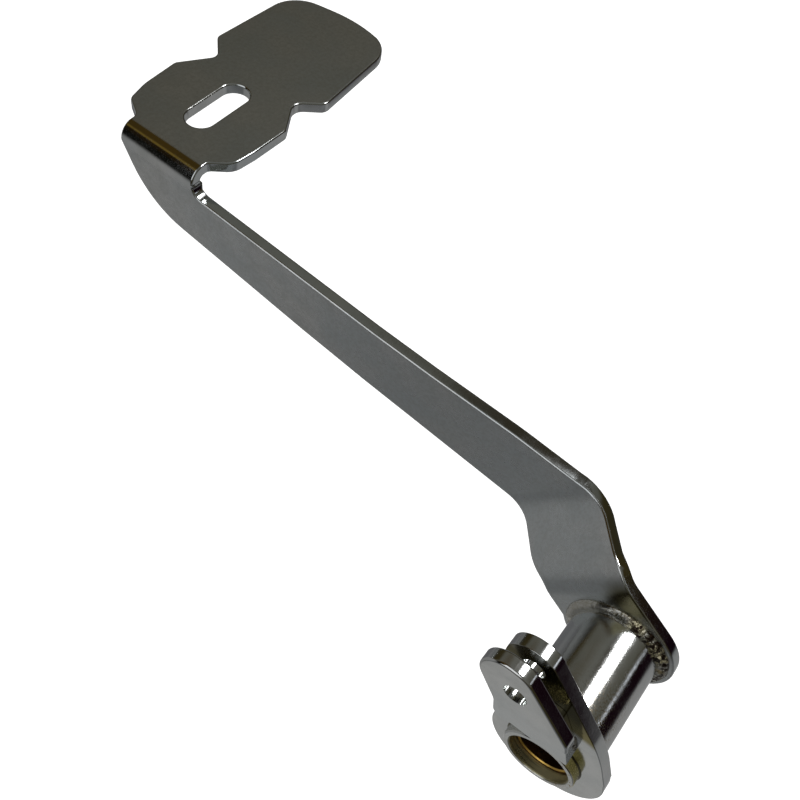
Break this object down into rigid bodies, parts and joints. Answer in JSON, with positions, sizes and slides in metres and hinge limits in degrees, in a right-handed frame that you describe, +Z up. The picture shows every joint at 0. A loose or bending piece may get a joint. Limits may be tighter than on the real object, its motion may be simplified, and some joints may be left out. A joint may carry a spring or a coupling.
{
  "type": "motorcycle foot lever",
  "caption": "Chromed steel foot lever: jogged flat arm folded into a slotted tread pad, welded to a bushed pivot tube with a two-ear rod clevis.",
  "frame": {"origin": "on the pivot axis, midway along the pivot tube", "axes": "+Y along the pivot axis out of the tube's inboard end, +X from the pivot towards the tread pad, +Z up and square to the tread pad"},
  "size_m": [0.2987, 0.2021, 0.0821],
  "materials": {
    "chrome_plate": "polished nickel-chrome plate",
    "chrome_tube": "polished nickel-chrome plate",
    "chrome_weld": "nickel-chrome plate over a weld bead, rough",
    "bronze": "sintered bronze, oiled"
  },
  "bodies": {
    "root": {"pedal_arm": "chrome_plate", "clevis_inner_plate": "chrome_plate", "clevis_outer_ear": "chrome_plate", "clevis_spacer": "chrome_plate", "pivot_tube": "chrome_tube", "weld_arm_tube": "chrome_weld", "weld_disc_tube": "chrome_weld", "weld_ear_root": "chrome_weld", "bushing_inboard": "bronze", "bushing_outboard": "bronze"}
  },
  "joints": []
}
